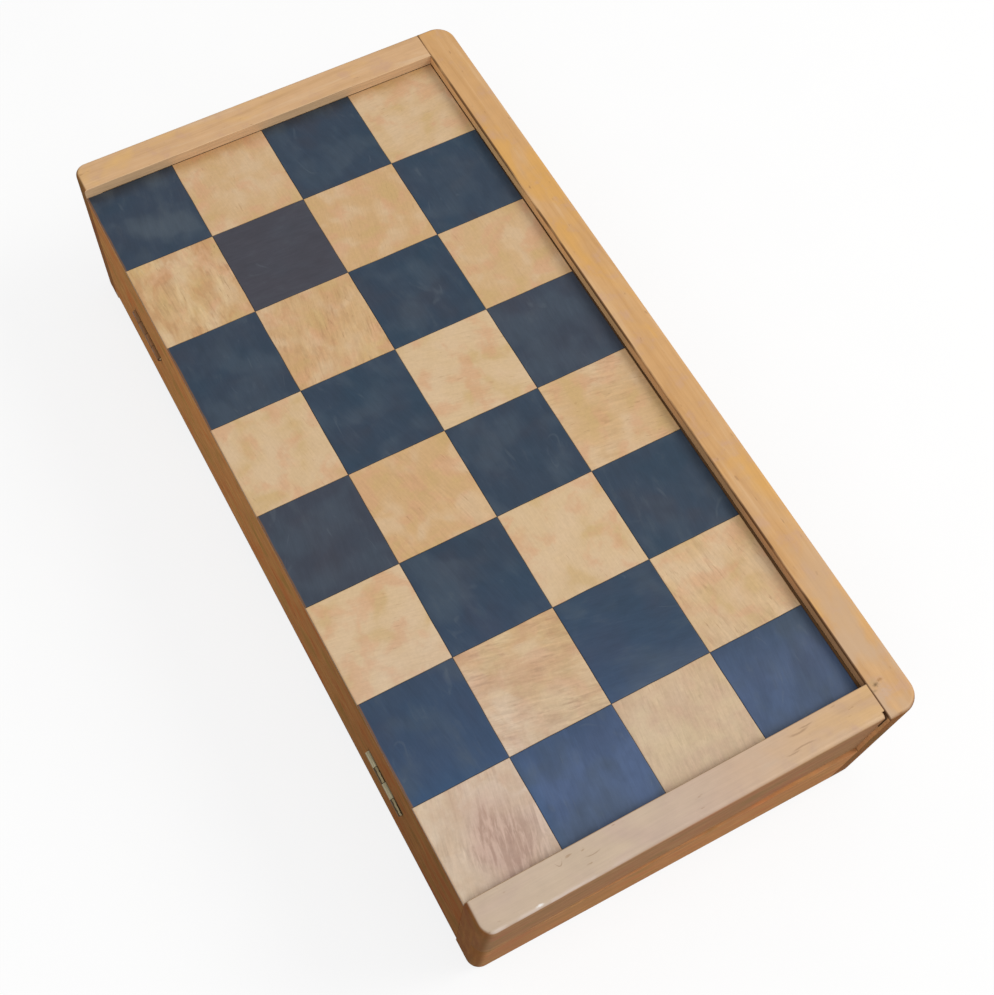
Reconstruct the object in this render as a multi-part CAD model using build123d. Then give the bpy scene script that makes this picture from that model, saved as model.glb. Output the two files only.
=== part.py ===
from build123d import *
import math
import os

# A folding wooden checkers case, shut, with its men inside.
# Millimetres. X runs from the hinge face to the front face, Y from the near end to the far end, Z up.
# The origin is under the middle of the whole case, hardware included, on the surface it lies on.

# Case
CASE_LENGTH = 300.0  # over the two end walls
CASE_WIDTH = 150.0
FACE_TO_FACE = 57.5  # between the two playing faces with the case shut
RIM_LIP = 4.1  # how far the rims stand above a playing face
SEAM_GAP = 0.1  # between the two halves with the case shut
FAR_RIM = 11.8
NEAR_RIM = 11.5
FRONT_RIM = 12.6
HINGE_WALL = 9.0
PROUD_END = 1.3  # how far the front walls run on past the near end walls
FRONT_CORNER_R = 7.0  # plan corners at the front
HINGE_CORNER_R = 4.5  # plan corners at the hinge face
OUTER_EDGE_R = 1.4  # softened outer edges of the rims
SHRINK_GAP = (0.8, 2.0, 10.0)  # opened joint at the near front corner: across, deep, down from the rim

# Playing board
SQUARE = 35.1
SQUARES_ALONG = 8
SQUARES_ACROSS = 4
FIRST_COLUMN = 32.5  # the column at the hinge is trimmed
FAR_LINE = 139.05  # where the far row starts
PANEL = 3.2
VENEER = 0.8
TONGUE = 4.0  # how far the panel runs into the rims' grooves
TONGUE_STOP = 6.0  # the grooves stop this far from the hinge face

# Butt hinges
HINGE_CENTRES = {"near": -89.55, "far": 96.15}
HINGE_LENGTH = 22.8
KNUCKLES = 4
KNUCKLE_GAP = 0.15
HINGE_PIN_R = 0.5
PIN_RUNNING_GAP = 0.05
LEAF = 0.7
KNUCKLE_R = HINGE_PIN_R + LEAF
LEAF_WIDTH = 8.0
LEAF_SET = 0.1  # leaf face to the middle of the seam
AXIS_OUT = 0.15  # hinge axis outside the hinge face, so the faces clear by twice this when open
RECESS_GAP = 0.5  # round the barrel, in the walls
WOOD_SCREW = {"head_r": 1.9, "head": 1.0, "shank_r": 0.9, "length": 8.0}
SCREW_SPREAD = 13.0
SCREW_INSET = 5.0  # from the hinge axis

# Swing hooks on the front
HOOK_CENTRES = {"near": -75.0, "far": 75.0}
HOOK_REACH = 16.0  # pivot to catch
HOOK_PLATE = 1.2
HOOK_EYE_R = 3.2
HOOK_ARM = 3.4
HOOK_MOUTH = 2.6
MOUTH_SWEEP = 25.0  # degrees of the mouth's arc about the pivot
SIDE_GAP = 0.3  # hook to wall, and hook to screw head
PIVOT_SHANK_R = 1.2
PIVOT_HEAD_R = 2.7
CATCH_SHANK_R = 1.0
CATCH_HEAD_R = 2.2
HEAD_RISE = 1.3
SHANK_IN_WOOD = 9.0

# Men
MAN_R = 13.5
MAN_HEIGHT = 7.5
MAN_DISH_R = 10.0  # the sunk middle of a man's face
MAN_DISH = 0.8
MEN_ACROSS = 4
MEN_ALONG = 3
MAN_PITCH = 31.5
COLOUR_GAP = 20.0  # between the two colours, as well as the pitch

# Flats that stand for a full round on what repeats
MAN_FLATS = 24
SCREW_FLATS = 12
PAN_HEAD_FLATS = 20

# Places worked out from the sizes above
HARDWARE_FRONT = 2 * SIDE_GAP + HOOK_PLATE + HEAD_RISE
HARDWARE_HINGE = AXIS_OUT + KNUCKLE_R
HINGE_FACE = (HARDWARE_HINGE - CASE_WIDTH - HARDWARE_FRONT) / 2
FRONT_FACE = HINGE_FACE + CASE_WIDTH
AXIS_X = HINGE_FACE - AXIS_OUT
RIM_X = FRONT_FACE - FRONT_RIM
NEAR_Y = (PROUD_END - CASE_LENGTH) / 2
FAR_Y = NEAR_Y + CASE_LENGTH
RIM_FAR_Y = FAR_Y - FAR_RIM
RIM_NEAR_Y = NEAR_Y + NEAR_RIM
SEAM_Z = RIM_LIP + FACE_TO_FACE / 2
MATE_Z = SEAM_Z + SEAM_GAP / 2
BOARD_Z = SEAM_Z + FACE_TO_FACE / 2
VENEER_Z = BOARD_Z - VENEER
PANEL_Z = VENEER_Z - PANEL
RIM_Z = BOARD_Z + RIM_LIP
KNUCKLE = HINGE_LENGTH / KNUCKLES
HOOK_DROP = HOOK_REACH / 2  # pivot below the seam, catch above it
LOWER_FLOOR_Z = 2 * SEAM_Z - PANEL_Z


def block(x, y, z):
    """A box between the two values of each axis."""
    size = [span[1] - span[0] for span in (x, y, z)]
    middle = [(span[0] + span[1]) / 2 for span in (x, y, z)]
    return Pos(*middle) * Box(*size)


def rod_y(x, z, radius, y):
    """A round bar along Y between the two values of y."""
    at = Plane(origin=(x, y[0], z), x_dir=(1, 0, 0), z_dir=(0, 1, 0))
    return extrude(at * Circle(radius), y[1] - y[0])


def flatted(x, y, z, radii, flats):
    """An upright prism or frustum of so many flats, between the two values of z."""
    height = z[1] - z[0]
    inset = (radii[0] - radii[1]) * math.cos(math.pi / flats)
    base = Pos(x, y, z[0]) * RegularPolygon(radii[0], flats)
    return extrude(base, height, taper=math.degrees(math.atan2(inset, height)))


def lower(piece):
    """The same piece of the lower half, mirrored in the seam."""
    return piece.mirror(Plane.XY.offset(SEAM_Z))


def same(a, b):
    """Two lengths that are the same but for rounding."""
    return abs(a - b) < 0.001


def softened(wall, x, ys, corner_r, is_joint):
    """Rounds a wall's upright corners at x and each of ys, then the top edges that no other piece meets."""
    upright = [e for e in wall.edges().filter_by(Axis.Z) if same(e.center().X, x)]
    upright = [e for e in upright if any(same(e.center().Y, y) for y in ys)]
    wall = fillet(upright, corner_r)
    top = wall.faces().sort_by(Axis.Z)[-1].edges()
    return fillet([e for e in top if not is_joint(e.center())], OUTER_EDGE_R)


def front_wall():
    """The long rim and wall opposite the hinges, with rounded ends, its near end proud of the end wall."""
    span = (NEAR_Y - PROUD_END, FAR_Y)
    wall = block((RIM_X, FRONT_FACE), span, (MATE_Z, RIM_Z))
    wall = softened(wall, FRONT_FACE, span, FRONT_CORNER_R, lambda p: same(p.X, RIM_X))
    ends = (RIM_NEAR_Y - TONGUE, RIM_FAR_Y + TONGUE)
    return wall - block((RIM_X, RIM_X + TONGUE), ends, (PANEL_Z, BOARD_Z))


def end_wall(inner_y, outer_y, front_y):
    """An end rim and wall between the hinge face and the front wall, where its outer face is at front_y."""
    corners = (HINGE_FACE, inner_y), (HINGE_FACE, outer_y), (RIM_X, front_y), (RIM_X, inner_y)
    wall = extrude(Pos(0, 0, MATE_Z) * Polygon(*corners, align=None), RIM_Z - MATE_Z, dir=(0, 0, 1))
    joints = lambda p: same(p.Y, inner_y) or same(p.X, RIM_X)
    wall = softened(wall, HINGE_FACE, (outer_y,), HINGE_CORNER_R, joints)
    outward = 1 if outer_y > inner_y else -1
    groove = sorted((inner_y, inner_y + outward * TONGUE))
    return wall - block((HINGE_FACE + TONGUE_STOP, RIM_X), groove, (PANEL_Z, BOARD_Z))


def near_wall_upper():
    """The upper near end wall, whose joint with the front wall has opened at the top."""
    across, deep, down = SHRINK_GAP
    gap = block((RIM_X - across, RIM_X), (NEAR_Y, NEAR_Y + deep), (RIM_Z - down, RIM_Z))
    return end_wall(RIM_NEAR_Y, NEAR_Y, NEAR_Y) - gap


def panel_outline(z):
    """The board's plan between two heights: flush with the hinge face, tongued into the three rims."""
    flush = block((HINGE_FACE, RIM_X), (RIM_NEAR_Y, RIM_FAR_Y), z)
    tongued = (RIM_NEAR_Y - TONGUE, RIM_FAR_Y + TONGUE)
    return flush + block((HINGE_FACE + TONGUE_STOP, RIM_X + TONGUE), tongued, z)


def board_panel():
    """The board that carries the squares and closes the half."""
    return panel_outline((PANEL_Z, VENEER_Z))


def square_lines():
    """Where the chequer's lines fall: across the board from the hinge face, and along it from the far end."""
    second = HINGE_FACE + FIRST_COLUMN
    across = [second + SQUARE * i for i in range(SQUARES_ACROSS - 1)]
    along = [FAR_LINE - SQUARE * i for i in range(1, SQUARES_ALONG)]
    xs = [HINGE_FACE] + across + [RIM_X + TONGUE]
    ys = [RIM_FAR_Y + TONGUE] + along + [RIM_NEAR_Y - TONGUE]
    return xs, ys


def squares(parity):
    """The veneer squares of one colour: column plus row is even for parity 0, odd for parity 1."""
    xs, ys = square_lines()
    sheet = panel_outline((VENEER_Z, BOARD_Z))
    made = []
    for column in range(SQUARES_ACROSS):
        for row in range(SQUARES_ALONG):
            if (column + row) % 2 == parity:
                cell_x, cell_y = (xs[column], xs[column + 1]), (ys[row + 1], ys[row])
                made += (block(cell_x, cell_y, (VENEER_Z, BOARD_Z)) & sheet).solids()
    return made


def wood_screw(x, y):
    """A countersunk screw driven up into the upper half from the seam."""
    head_r, shank_r = WOOD_SCREW["head_r"], WOOD_SCREW["shank_r"]
    face = SEAM_Z + LEAF_SET
    neck, tip = face + WOOD_SCREW["head"], face + WOOD_SCREW["length"]
    head = flatted(x, y, (face, neck), (head_r, shank_r), SCREW_FLATS)
    return head + flatted(x, y, (neck, tip), (shank_r, shank_r), SCREW_FLATS)


def screw_places(centre):
    """The two screw centres of one leaf."""
    x = AXIS_X + SCREW_INSET
    return [(x, centre - SCREW_SPREAD / 2), (x, centre + SCREW_SPREAD / 2)]


def leaf_knuckles(centre, first):
    """The spans along Y of every other knuckle, counted from the far end of the hinge."""
    far = centre + HINGE_LENGTH / 2
    spans = []
    for i in range(first, KNUCKLES, 2):
        spans.append((far - (i + 1) * KNUCKLE + KNUCKLE_GAP / 2, far - i * KNUCKLE - KNUCKLE_GAP / 2))
    return spans


def hinge_leaf(centre, own, others, bore_r):
    """An upper leaf: a plate swaged up to the seam, rolled into knuckles round the pin."""
    ends = (centre - HINGE_LENGTH / 2, centre + HINGE_LENGTH / 2)
    face = SEAM_Z + LEAF_SET
    leaf = block((AXIS_X, AXIS_X + LEAF_WIDTH), ends, (face, face + LEAF))
    for low, high in others:
        room = (low - KNUCKLE_GAP, high + KNUCKLE_GAP)
        leaf -= block((AXIS_X, AXIS_X + KNUCKLE_R + RECESS_GAP), room, (SEAM_Z, face + LEAF))
    for span in own:
        leaf += rod_y(AXIS_X, SEAM_Z, KNUCKLE_R, span)
    leaf -= rod_y(AXIS_X, SEAM_Z, bore_r, ends)
    for x, y in screw_places(centre):
        leaf -= wood_screw(x, y)
    return leaf


def hinge_pin(centre):
    """The pin through all four knuckles."""
    half = HINGE_LENGTH / 2
    return rod_y(AXIS_X, SEAM_Z, HINGE_PIN_R, (centre - half, centre + half))


def hinge_wall():
    """The wall under the board's hinge edge, let in for the leaves and barrels of both hinges."""
    wall = block((HINGE_FACE, HINGE_FACE + HINGE_WALL), (RIM_NEAR_Y, RIM_FAR_Y), (MATE_Z, PANEL_Z))
    for centre in HINGE_CENTRES.values():
        half = HINGE_LENGTH / 2 + KNUCKLE_GAP
        ends = (centre - half, centre + half)
        mortise_z = (MATE_Z, SEAM_Z + LEAF_SET + LEAF)
        wall -= block((HINGE_FACE, AXIS_X + LEAF_WIDTH + KNUCKLE_GAP), ends, mortise_z)
        wall -= rod_y(AXIS_X, SEAM_Z, KNUCKLE_R + RECESS_GAP, ends)
    return wall


def front_plane(y, z, out):
    """A sketch plane parallel to the front face: its x is +Y and its y is +Z."""
    return Plane(origin=(FRONT_FACE + out, y, z), x_dir=(0, 1, 0), z_dir=(1, 0, 0))


def swing_hook(y):
    """A flat brass hook hanging from its pivot, its mouth an arc about the pivot, open on the +Y side."""
    eye = Circle(HOOK_EYE_R)
    arm = Pos(0, -HOOK_REACH / 2) * Rectangle(HOOK_ARM, HOOK_REACH)
    head = Pos(0, -HOOK_REACH) * Circle(HOOK_EYE_R)
    mouth = SlotArc(CenterArc((0, 0), HOOK_REACH, -90, MOUTH_SWEEP), HOOK_MOUTH)
    outline = eye + arm + head - mouth - Circle(PIVOT_SHANK_R + PIN_RUNNING_GAP)
    return extrude(front_plane(y, SEAM_Z - HOOK_DROP, SIDE_GAP) * outline, HOOK_PLATE)


def pan_head_screw(y, z, shank_r, head_r):
    """A pan-head screw in the front face, its head proud by the hook's thickness and side gaps."""
    under = 2 * SIDE_GAP + HOOK_PLATE
    shank = extrude(front_plane(y, z, -SHANK_IN_WOOD) * Circle(shank_r), SHANK_IN_WOOD + under)
    return shank + extrude(front_plane(y, z, under) * RegularPolygon(head_r, PAN_HEAD_FLATS), HEAD_RISE)


def man(x, y):
    """A wooden man lying on the lower half's floor, its face sunk inside a raised ring."""
    top = LOWER_FLOOR_Z + MAN_HEIGHT
    disc = flatted(x, y, (LOWER_FLOOR_Z, top), (MAN_R, MAN_R), MAN_FLATS)
    return disc - flatted(x, y, (top - MAN_DISH, top), (MAN_DISH_R, MAN_DISH_R), MAN_FLATS)


def men_places(side):
    """The places of one colour: rows of four, on the near side of the case for -1 or the far side for 1."""
    middle_x = (HINGE_FACE + HINGE_WALL + RIM_X) / 2
    places = []
    for row in range(MEN_ALONG):
        for column in range(MEN_ACROSS):
            x = middle_x + (column - (MEN_ACROSS - 1) / 2) * MAN_PITCH
            places.append((x, side * (COLOUR_GAP / 2 + MAN_PITCH * (row + 0.5))))
    return places


def case_halves():
    """Both halves: the same joinery mirrored in the seam, with the two colours changed over.

    The lower near wall was cut a little out of square, so that it ends flush with the front wall.
    """
    front = front_wall()
    far = end_wall(RIM_FAR_Y, FAR_Y, FAR_Y)
    near = end_wall(RIM_NEAR_Y, NEAR_Y, NEAR_Y - PROUD_END)
    wall = hinge_wall()
    panel = board_panel()
    even, odd = squares(0), squares(1)
    return {
        "upper_front_wall": front,
        "upper_far_wall": far,
        "upper_near_wall": near_wall_upper(),
        "upper_hinge_wall": wall,
        "upper_board_panel": panel,
        "upper_dark_squares": even,
        "upper_light_squares": odd,
        "lower_front_wall": lower(front),
        "lower_far_wall": lower(far),
        "lower_near_wall": lower(near),
        "lower_hinge_wall": lower(wall),
        "lower_board_panel": lower(panel),
        "lower_dark_squares": [lower(s) for s in odd],
        "lower_light_squares": [lower(s) for s in even],
    }


def hinges():
    """Two butt hinges, each an upper leaf, a lower leaf and a pin, and the screws of each half."""
    made = {"upper_hinge_screws": [], "lower_hinge_screws": []}
    for name, centre in HINGE_CENTRES.items():
        uppers, lowers = leaf_knuckles(centre, 0), leaf_knuckles(centre, 1)
        made[f"{name}_hinge_upper_leaf"] = hinge_leaf(centre, uppers, lowers, HINGE_PIN_R + PIN_RUNNING_GAP)
        made[f"{name}_hinge_lower_leaf"] = lower(hinge_leaf(centre, lowers, uppers, HINGE_PIN_R))
        made[f"{name}_hinge_pin"] = hinge_pin(centre)
        for x, y in screw_places(centre):
            screw = wood_screw(x, y)
            made["upper_hinge_screws"].append(screw)
            made["lower_hinge_screws"].append(lower(screw))
    return made


def fastenings():
    """Two swing hooks, their pivot screws in the lower half and their catch screws in the upper half."""
    made = {"hook_pivot_screws": [], "hook_catch_screws": []}
    for name, y in HOOK_CENTRES.items():
        made[f"{name}_hook"] = swing_hook(y)
        pivot = pan_head_screw(y, SEAM_Z - HOOK_DROP, PIVOT_SHANK_R, PIVOT_HEAD_R)
        catch = pan_head_screw(y, SEAM_Z + HOOK_DROP, CATCH_SHANK_R, CATCH_HEAD_R)
        made["hook_pivot_screws"].append(pivot)
        made["hook_catch_screws"].append(catch)
    return made


def men():
    """Twelve light men at the near end and twelve dark men at the far end."""
    made = {}
    for colour, side in (("light", -1), ("dark", 1)):
        for number, (x, y) in enumerate(men_places(side), 1):
            made[f"{colour}_man_{number:02d}"] = man(x, y)
    return made


os.makedirs("parts", exist_ok=True)
nodes = {**case_halves(), **hinges(), **fastenings(), **men()}
for name, shape in nodes.items():
    if isinstance(shape, list):
        shape = Compound(children=shape)
    export_step(shape, f"parts/{name}.step")
print(len(nodes), "nodes")
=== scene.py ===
import math
import random

import bmesh
import bpy
from mathutils import Matrix, Vector, noise

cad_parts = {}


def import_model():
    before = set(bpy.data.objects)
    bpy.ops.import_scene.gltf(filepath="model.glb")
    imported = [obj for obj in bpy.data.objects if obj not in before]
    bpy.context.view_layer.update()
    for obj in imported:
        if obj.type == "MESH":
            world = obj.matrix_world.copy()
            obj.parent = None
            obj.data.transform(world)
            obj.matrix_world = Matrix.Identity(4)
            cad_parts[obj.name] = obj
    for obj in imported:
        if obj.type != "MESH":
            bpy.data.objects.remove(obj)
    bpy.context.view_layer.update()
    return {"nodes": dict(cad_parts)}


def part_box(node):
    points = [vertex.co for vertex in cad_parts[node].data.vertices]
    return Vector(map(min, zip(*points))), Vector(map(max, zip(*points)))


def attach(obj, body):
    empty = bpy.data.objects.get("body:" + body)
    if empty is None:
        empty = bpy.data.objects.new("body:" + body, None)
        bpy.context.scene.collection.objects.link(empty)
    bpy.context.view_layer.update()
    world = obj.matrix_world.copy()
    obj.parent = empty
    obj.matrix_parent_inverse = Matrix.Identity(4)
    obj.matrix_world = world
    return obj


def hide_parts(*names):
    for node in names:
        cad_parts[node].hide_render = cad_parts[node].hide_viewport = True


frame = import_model()
NODES = frame["nodes"]

# Meshes are in metres, in the frame's own axes: X from the hinge face to the front face, Y from the
# near end to the far end, Z up. The finishes measure the same space in millimetres.
MM = 0.001

# Places read from the frame
HINGE_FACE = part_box("upper_hinge_wall")[0].x
HINGE_WALL_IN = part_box("upper_hinge_wall")[1].x
RIM_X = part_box("upper_front_wall")[0].x
RIM_FAR_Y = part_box("upper_far_wall")[0].y
RIM_NEAR_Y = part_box("upper_near_wall")[1].y
NEAR_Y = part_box("upper_near_wall")[0].y
RIM_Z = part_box("upper_front_wall")[1].z
BOARD_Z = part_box("upper_dark_squares")[1].z
VENEER_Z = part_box("upper_dark_squares")[0].z
PANEL_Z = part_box("upper_board_panel")[0].z
SEAM_Z = (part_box("upper_front_wall")[0].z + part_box("lower_front_wall")[1].z) / 2

# The same places in millimetres, and heights above the seam, for the finishes
HINGE_AT, WALL_IN_AT, RIM_AT = HINGE_FACE / MM, HINGE_WALL_IN / MM, RIM_X / MM
FAR_RIM_AT, NEAR_RIM_AT, NEAR_AT = RIM_FAR_Y / MM, RIM_NEAR_Y / MM, NEAR_Y / MM
TOP_AT, SEAM_AT = RIM_Z / MM, SEAM_Z / MM
TOP_RISE = (RIM_Z - SEAM_Z) / MM
VENEER_RISE = (VENEER_Z - SEAM_Z) / MM
PANEL_RISE = (PANEL_Z - SEAM_Z) / MM

# The chequer
SQUARE = 35.1 * MM
FIRST_COLUMN = 32.5 * MM  # the width of the squares along the hinge edge
FAR_LINE = RIM_FAR_Y + 0.2 * MM  # the rows are measured from here, just under the far rim
COLUMNS, ROWS = 4, 8


def srgb(r, g, b):
    """A colour from its screen values of 0 to 255, in linear light."""
    shares = [c / 255 for c in (r, g, b)]
    return tuple(c / 12.92 if c <= 0.04045 else ((c + 0.055) / 1.055) ** 2.4 for c in shares) + (1,)


# Finishes

class Finish:
    """A material being made, with a short method for each kind of node that the finishes share."""

    def __init__(self, name, **sockets):
        self.material = bpy.data.materials.new(name)
        self.material.use_nodes = True
        self.tree = self.material.node_tree
        self.shader = self.tree.nodes["Principled BSDF"]
        self.put(self.shader, {key.replace("_", " "): value for key, value in sockets.items()})
        coords = self.tree.nodes.new("ShaderNodeTexCoord")
        self.normal = coords.outputs["Normal"]
        self.place = self.scaled(coords.outputs["Object"], 1 / MM, 1 / MM, 1 / MM)
        self.x, self.y, self.z = self.split(self.place)

    def put(self, node, sockets):
        """Sets or links a node's inputs."""
        for key, value in sockets.items():
            if isinstance(value, bpy.types.NodeSocket):
                self.tree.links.new(value, node.inputs[key])
            else:
                node.inputs[key].default_value = value
        return node

    def add(self, kind, sockets, **settings):
        """A new node with its settings and inputs."""
        node = self.tree.nodes.new("ShaderNode" + kind)
        for key, value in settings.items():
            setattr(node, key, value)
        return self.put(node, sockets)

    def scaled(self, vector, x, y, z):
        return self.add("VectorMath", {0: vector, 1: (x, y, z)}, operation="MULTIPLY").outputs[0]

    def moved(self, vector, by):
        return self.add("VectorMath", {0: vector, 1: by}, operation="ADD").outputs[0]

    def split(self, vector):
        return self.add("SeparateXYZ", {0: vector}).outputs

    def math(self, operation, a, b=0.0):
        return self.add("Math", {0: a, 1: b}, operation=operation).outputs[0]

    def length(self, vector):
        return self.add("VectorMath", {0: vector}, operation="LENGTH").outputs["Value"]

    def product(self, *values):
        result = values[0]
        for value in values[1:]:
            result = self.math("MULTIPLY", result, value)
        return result

    def ramp(self, value, low, high, start=0.0, end=1.0):
        """Runs smoothly from start to end as the value goes from low to high."""
        sockets = {"Value": value, "From Min": low, "From Max": high, "To Min": start, "To Max": end}
        return self.add("MapRange", sockets, interpolation_type="SMOOTHSTEP").outputs[0]

    def noise(self, vector, size, detail=2.0, rough=0.5, distort=0.0):
        """Soft noise whose lumps are about so many millimetres across, from 0 to 1."""
        sockets = {"Vector": vector, "Scale": 1 / size, "Detail": detail, "Roughness": rough}
        return self.add("TexNoise", {**sockets, "Distortion": distort}).outputs[0]

    def mix(self, share, a, b, blend="MIX"):
        sockets = {0: share, 6: a, 7: b}
        return self.add("Mix", sockets, data_type="RGBA", blend_type=blend).outputs[2]

    def layered(self, colour, *layers):
        """The colour under one layer after another, each given as its share and its own colour."""
        for share, layer in layers:
            colour = self.mix(share, colour, layer)
        return colour

    def tinted(self, share, colour, r, g, b):
        """The colour with its channels multiplied by so much, as far as the share says."""
        return self.mix(share, colour, (r, g, b, 1), "MULTIPLY")

    def grey(self, value):
        """The same number in each channel, for multiplying a colour."""
        return self.add("CombineColor", {0: value, 1: value, 2: value}).outputs[0]

    def shaded(self, colour, shade):
        """The colour made lighter or darker by a factor."""
        return self.mix(1.0, colour, self.grey(shade), "MULTIPLY")

    def along(self, axis, stretch):
        """Coordinates squeezed along one axis, so that noise on them is drawn out into grain."""
        squeeze = [1 / stretch if name == axis else 1.0 for name in "xyz"]
        return self.scaled(self.place, *squeeze)

    def drawn(self, vector, stretch):
        """The same for other coordinates than the piece's own, and always along their Y."""
        return self.scaled(vector, 1, 1 / stretch, 1)

    def facing(self, axis, low, high):
        """1 where the surface faces along an axis, either way, in the piece's own directions."""
        part = self.split(self.normal)["xyz".index(axis)]
        return self.ramp(self.math("ABSOLUTE", part), low, high)

    def attribute(self, name):
        return self.add("Attribute", {}, attribute_name=name).outputs["Fac"]

    def finish(self, colour, roughness=None, height=None, relief=0.02):
        """Joins up the shader. The relief is the height, in millimetres, of the bump's full range."""
        sockets = {"Base Color": colour}
        if roughness is not None:
            sockets["Roughness"] = roughness
        if height is not None:
            bump = self.add("Bump", {"Height": height, "Distance": relief * MM})
            sockets["Normal"] = bump.outputs[0]
        self.put(self.shader, sockets)
        return self.material


# The brown sides' colours: the ground, its lighter streaks, and its olive and red blotches
END_WALL_BROWNS = srgb(178, 130, 90), srgb(192, 144, 100), srgb(158, 124, 80), srgb(180, 118, 84)
FRONT_WALL_BROWNS = srgb(190, 140, 94), srgb(204, 154, 104), srgb(174, 136, 86), srgb(194, 130, 90)
HINGE_WALL_BROWNS = srgb(194, 134, 77), srgb(207, 150, 86), srgb(168, 127, 62), srgb(194, 114, 59)
END_GRAIN_BROWNS = srgb(143, 92, 48), srgb(155, 104, 54), srgb(126, 90, 42), srgb(132, 76, 38)


def brown_side(f, axis, browns, blotched=0.8):
    """The case's sides under darkened varnish, streaked along one axis and more or less blotched."""
    base, lighter, olive, red = browns
    streaks = f.noise(f.along(axis, 7), 2.4, 4, 0.6, 0.5)
    hues = f.noise(f.along(axis, 2.2), 9, 3, 0.6, 0.4)
    colour = f.layered(
        base,
        (f.ramp(streaks, 0.46, 0.68, 0, 0.7), lighter),
        (f.ramp(hues, 0.48, 0.7, 0, blotched), red),
        (f.ramp(hues, 0.5, 0.3, 0, blotched), olive),
    )
    return f.shaded(colour, f.ramp(streaks, 0.3, 0.6, 0.93, 1.02))


def from_seam(f):
    """The distance up or down from the seam, in millimetres."""
    return f.math("ABSOLUTE", f.math("SUBTRACT", f.z, SEAM_AT))


def within(f):
    """1 inside the rims along Y and towards the front, seen in plan, and on the faces that look inwards."""
    return f.product(
        f.ramp(f.x, RIM_AT + 0.3, RIM_AT + 0.1),
        f.ramp(f.y, NEAR_RIM_AT - 0.3, NEAR_RIM_AT - 0.1),
        f.ramp(f.y, FAR_RIM_AT + 0.3, FAR_RIM_AT + 0.1),
    )


def tray_mask(f):
    """1 on the faces that line the tray, 0 outside and on the faces where the halves meet."""
    past_wall = f.ramp(f.x, WALL_IN_AT - 0.3, WALL_IN_AT - 0.1)
    return f.product(within(f), past_wall, f.ramp(from_seam(f), PANEL_RISE + 0.3, PANEL_RISE + 0.1))


def rim_mask(f):
    """1 on the low faces of the rims that look over the squares."""
    return f.product(within(f), f.ramp(from_seam(f), VENEER_RISE - 0.4, VENEER_RISE - 0.2))


SHEEN_AND_CLOUD_CORNER = (-45, -165)  # painted sheen and cloudy varnish centre on this place, X and Y in millimetres


def sheen_and_clouding(f):
    """How much painted sheen, with cloudy varnish, lies here: 1 at the corner by the near hinge, 0 over
    most of the case.
    """
    x, y = SHEEN_AND_CLOUD_CORNER
    return f.ramp(f.length(f.moved(f.scaled(f.place, 1, 1, 0), (-x, -y, 0))), 135, 30)


def spot(f, x, y, wide, high, wobble, soft):
    """1 in a ragged spot on the upper rims at so many millimetres, and 0 outside it."""
    ragged = f.noise(f.place, 0.9, 4, 0.65)
    reach = f.length(f.scaled(f.moved(f.place, (-x, -y, -TOP_AT)), 1 / wide, 1 / high, 1))
    return f.ramp(f.math("ADD", reach, f.product(ragged, wobble)), 1 + wobble / 2, 1 - soft + wobble / 2)


def streak(f, x, y, long, wide, bend):
    """1 in a thin curved streak across an end rim, its middle at so many millimetres."""
    away_x, away_y, away_z = f.split(f.moved(f.place, (-x, -y, -TOP_AT)))
    bent = f.math("SUBTRACT", away_y, f.product(away_x, away_x, bend))
    ragged = f.noise(f.place, 0.9, 3)
    away = f.math("ABSOLUTE", f.math("ADD", bent, f.product(ragged, wide)))
    thin = f.ramp(away, 1.2 * wide, 0.2 * wide)
    return f.product(thin, f.ramp(f.math("ABSOLUTE", away_x), long, 0.3 * long), f.ramp(away_z, -1.5, -1))


def raw_wood(f, fibres):
    """The unfinished wood that lines the trays."""
    return f.mix(f.ramp(fibres, 0.3, 0.7), srgb(206, 172, 128), srgb(192, 154, 108))


def rim_top(f, axis, palette, fibres, smudges):
    """The rims' golden top, with bands along one axis, patches, dark flecks, and cloudy varnish with
    painted sheen towards the near hinge corner.
    """
    base, lighter, deeper, gold = palette
    bands = f.noise(f.along(axis, 14), 5, 4, 0.6, 0.8)
    patches = f.noise(f.along(axis, 2.2), 15, 3, 0.55, 0.6)
    # The colour of the painted sheen and cloudy varnish
    sheen_and_cloud = f.mix(f.ramp(patches, 0.35, 0.65), srgb(207, 187, 165), srgb(203, 180, 166))
    top = f.layered(
        base,
        (f.ramp(bands, 0.5, 0.7, 0, 0.7), lighter),
        (f.ramp(bands, 0.5, 0.3, 0, 0.7), deeper),
        (f.ramp(patches, 0.48, 0.66, 0, 0.8), gold),
        (f.ramp(smudges, 0.52, 0.7, 0, 0.5), srgb(208, 166, 138)),
        (f.product(sheen_and_clouding(f), 0.88), sheen_and_cloud),
        (f.ramp(f.noise(f.along(axis, 3), 1.5, 2), 0.68, 0.78, 0, 0.45), srgb(150, 108, 72)),
    )
    uneven = f.product(f.ramp(fibres, 0.25, 0.75, 0.96, 1.03), f.ramp(smudges, 0.3, 0.7, 1.03, 0.97))
    return f.shaded(top, uneven)


def end_wall_side(f):
    """The end walls' brown side, lighter below the seam and towards the near end."""
    side = brown_side(f, "x", END_WALL_BROWNS, 0.6)
    uneven = f.math("ADD", f.z, f.product(f.noise(f.along("x", 2), 7, 2), 14))
    lower = f.product(f.ramp(uneven, SEAM_AT + 12, SEAM_AT + 2), f.ramp(f.x, -70, -10, 0.6, 1))
    return f.tinted(f.product(lower, f.ramp(f.y, 0, -100)), side, 1.32, 1.2, 0.97)


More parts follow.
